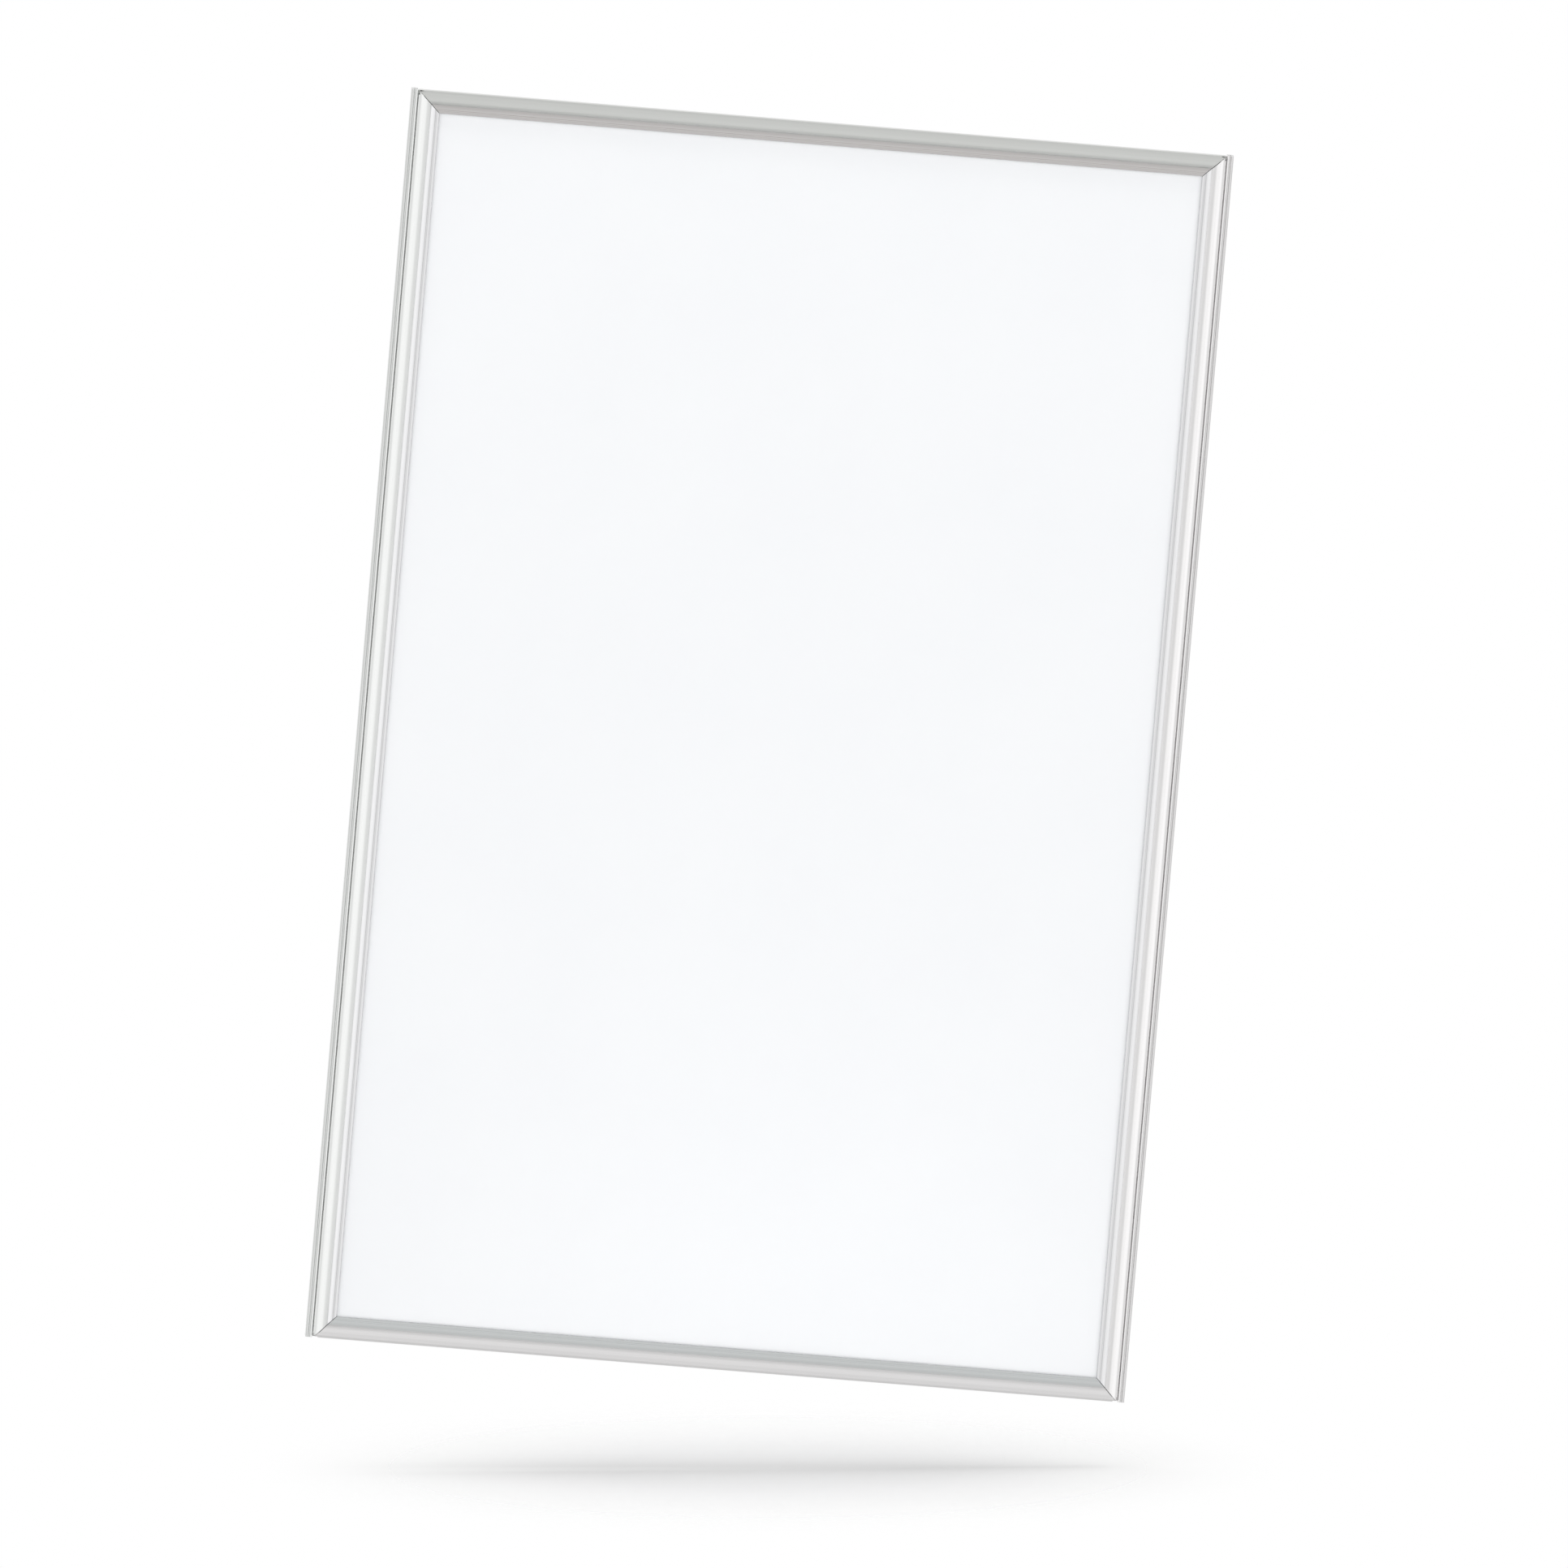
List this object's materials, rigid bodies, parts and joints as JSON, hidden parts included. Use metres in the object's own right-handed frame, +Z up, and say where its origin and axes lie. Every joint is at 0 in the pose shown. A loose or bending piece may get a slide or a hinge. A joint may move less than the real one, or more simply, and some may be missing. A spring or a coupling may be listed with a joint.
{
  "type": "snap poster frame",
  "caption": "Slim wall frame of aluminium rails with mitred, spring-loaded front flaps that snap shut over a card, a clear cover sheet and a white backing panel.",
  "frame": {"origin": "centre of the four side-rail wall screw holes, in the plane of the rear face that lies on the wall", "axes": "+Z up along the side rails, +X to the right seen from the front, -Y out of the wall towards the viewer"},
  "size_m": [0.3722, 0.0095, 0.569],
  "materials": {
    "rail": "satin silver anodised",
    "flap": "satin silver anodised",
    "spring": "cold-rolled spring steel",
    "key": "zinc-plated",
    "screw": "black oxide steel",
    "panel": "fine matt white",
    "cover": "clear, anti-glare front"
  },
  "bodies": {
    "base": {"left_base_rail": "rail", "right_base_rail": "rail", "top_base_rail": "rail", "bottom_base_rail": "rail", "left_spring_1": "spring", "left_spring_2": "spring", "left_spring_3": "spring", "right_spring_1": "spring", "right_spring_2": "spring", "right_spring_3": "spring", "top_spring_1": "spring", "top_spring_2": "spring", "bottom_spring_1": "spring", "bottom_spring_2": "spring", "top_left_key": "key", "top_right_key": "key", "bottom_left_key": "key", "bottom_right_key": "key", "key_screws": "screw", "backing_panel": "panel", "cover_sheet": "cover"},
    "left_flap": {"left_flap": "flap"},
    "right_flap": {"right_flap": "flap"},
    "top_flap": {"top_flap": "flap"},
    "bottom_flap": {"bottom_flap": "flap"}
  },
  "joints": [
    {"name": "left_flap_hinge", "type": "hinge", "parent": "base", "child": "left_flap", "pos_m": [-0.18095, -0.0075, 0], "axis": [0, 0, -1], "range_deg": [0, 90]},
    {"name": "right_flap_hinge", "type": "hinge", "parent": "base", "child": "right_flap", "pos_m": [0.18095, -0.0075, 0], "axis": [0, 0, 1], "range_deg": [0, 90]},
    {"name": "top_flap_hinge", "type": "hinge", "parent": "base", "child": "top_flap", "pos_m": [0, -0.0075, 0.28255], "axis": [-1, 0, 0], "range_deg": [0, 90]},
    {"name": "bottom_flap_hinge", "type": "hinge", "parent": "base", "child": "bottom_flap", "pos_m": [0, -0.0075, -0.28255], "axis": [1, 0, 0], "range_deg": [0, 90]}
  ]
}
